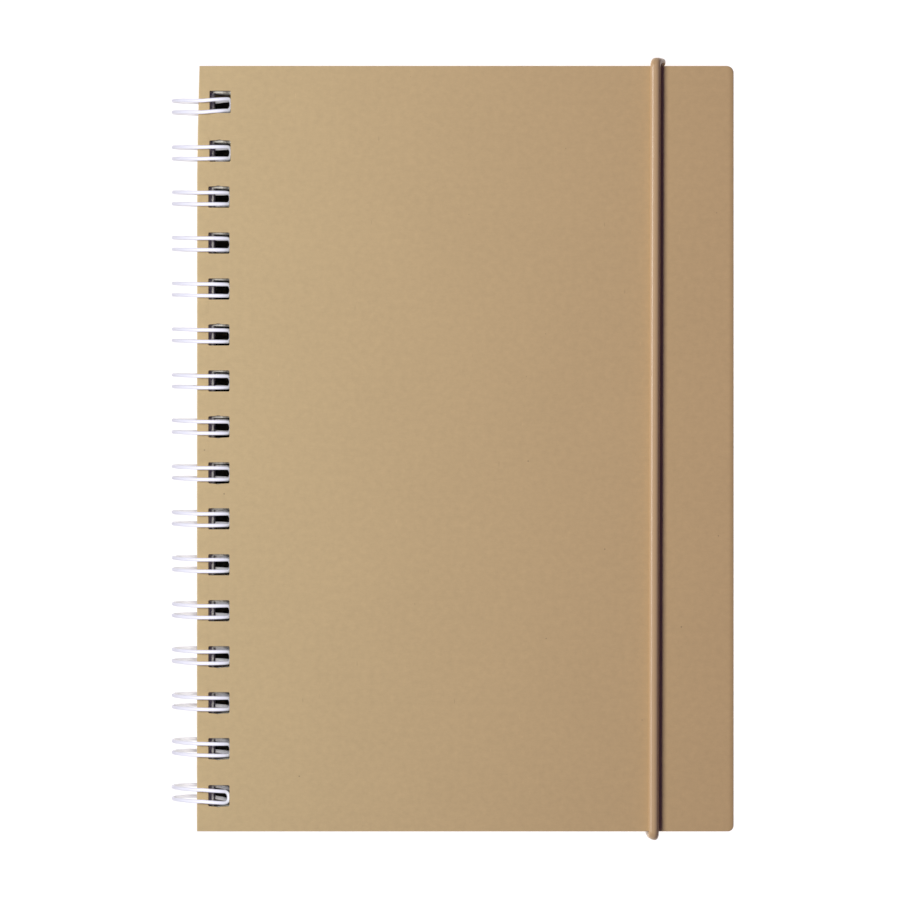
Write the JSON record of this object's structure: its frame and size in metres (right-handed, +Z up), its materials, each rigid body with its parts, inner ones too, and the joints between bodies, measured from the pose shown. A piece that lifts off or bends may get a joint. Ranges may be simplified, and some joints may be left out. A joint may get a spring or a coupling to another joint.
{
  "type": "spiral notebook",
  "caption": "A5 notebook with kraft board covers, a white twin-wire ring binding along the spine and a round elastic cord that holds it shut.",
  "frame": {"origin": "middle of the underside of the whole notebook's box, as it lies on its back cover", "axes": "+X from the spine to the fore edge, +Y to the top of the cover, +Z up out of the front cover"},
  "size_m": [0.1566, 0.2168, 0.0192],
  "materials": {
    "kraft_board": "uncoated, matte",
    "paper": "uncoated, matte",
    "white_wire": "white nylon coating, satin",
    "elastic": "braided over rubber, soft sheen",
    "clip_metal": "plain"
  },
  "bodies": {
    "book_block": {"page_block": "paper", "twin_wire": "white_wire"},
    "front_cover": {"front_cover": "kraft_board"},
    "back_cover": {"back_cover": "kraft_board", "elastic_cord": "elastic", "cord_clip_top": "clip_metal", "cord_clip_bottom": "clip_metal"}
  },
  "joints": [
    {"name": "front_cover_hinge", "type": "hinge", "parent": "book_block", "child": "front_cover", "pos_m": [-0.06928, 0, 0.009], "axis": [0, -1, 0], "range_deg": [0, 180], "deforming": ["elastic_cord"]},
    {"name": "back_cover_hinge", "type": "hinge", "parent": "book_block", "child": "back_cover", "pos_m": [-0.06928, 0, 0.009], "axis": [0, 1, 0], "range_deg": [0, 180], "deforming": ["elastic_cord"]}
  ]
}
